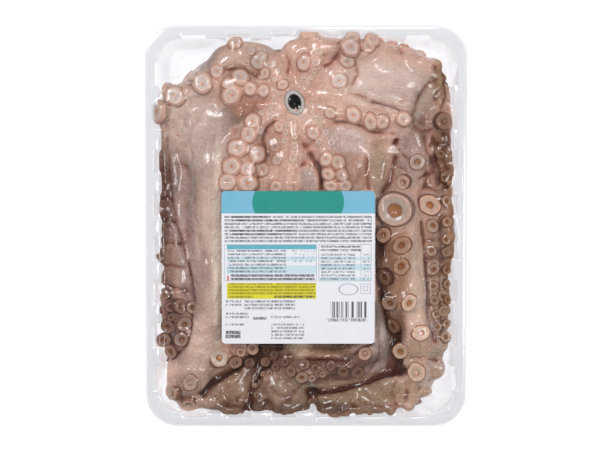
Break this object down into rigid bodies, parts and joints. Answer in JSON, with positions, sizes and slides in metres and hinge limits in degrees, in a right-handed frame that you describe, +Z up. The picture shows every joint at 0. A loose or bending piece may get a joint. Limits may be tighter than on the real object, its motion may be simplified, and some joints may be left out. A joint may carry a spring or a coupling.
{
  "type": "packed whole octopus",
  "caption": "Whole raw octopus lying mouth side up with its suckered arms folded round it, skin packed under clear film in a clear ribbed tray with a square label.",
  "frame": {"origin": "under the middle of the tray, on the plane that the pack stands on", "axes": "+Z up, +Y along the tray towards the end where the octopus's mouth lies, +X to the right seen from above"},
  "size_m": [0.216, 0.27, 0.0472],
  "materials": {
    "tray_plastic": "clear thermoformed sheet, glossy",
    "octopus_flesh": "wet raw flesh, pinkish beige where the suckers are and brown on the outer skin",
    "beak_horn": "wet black horn",
    "film_plastic": "clear thin film, glossy",
    "label_paper": "printed, satin"
  },
  "bodies": {
    "root": {"tray": "tray_plastic", "octopus": "octopus_flesh", "beak": "beak_horn", "film": "film_plastic", "label": "label_paper"}
  },
  "joints": []
}
